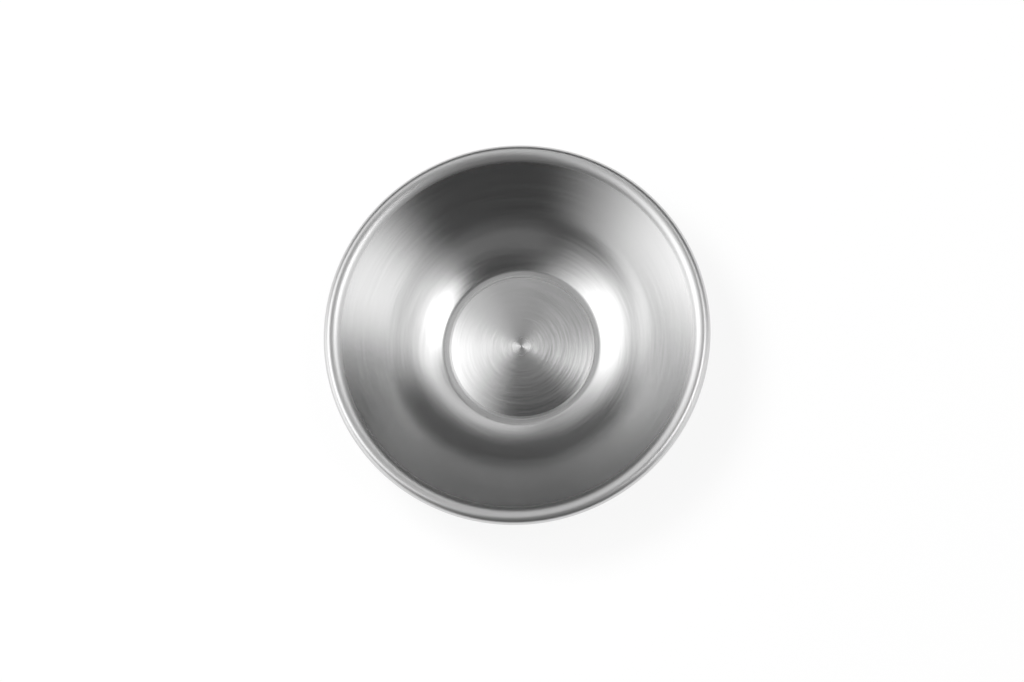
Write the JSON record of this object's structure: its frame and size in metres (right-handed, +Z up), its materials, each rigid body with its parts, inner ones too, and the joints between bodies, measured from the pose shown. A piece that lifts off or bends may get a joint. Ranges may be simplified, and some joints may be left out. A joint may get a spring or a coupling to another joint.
{
  "type": "mixing bowl",
  "caption": "Round, shallow steel mixing bowl with a turned base, a flaring wall and a rim rolled around a stiffening wire.",
  "frame": {"origin": "centre of the bowl on the surface that it stands on", "axes": "+Z up along the bowl's axis; +X and +Y lie in the surface that it stands on"},
  "size_m": [0.16, 0.16, 0.03],
  "materials": {
    "brushed_sheet": "satin spun finish: turned base, fine circular brushing on the wall and rim",
    "drawn_wire": "drawn round wire, bright along its length"
  },
  "bodies": {
    "root": {"bowl_shell": "brushed_sheet", "rim_wire": "drawn_wire"}
  },
  "joints": []
}
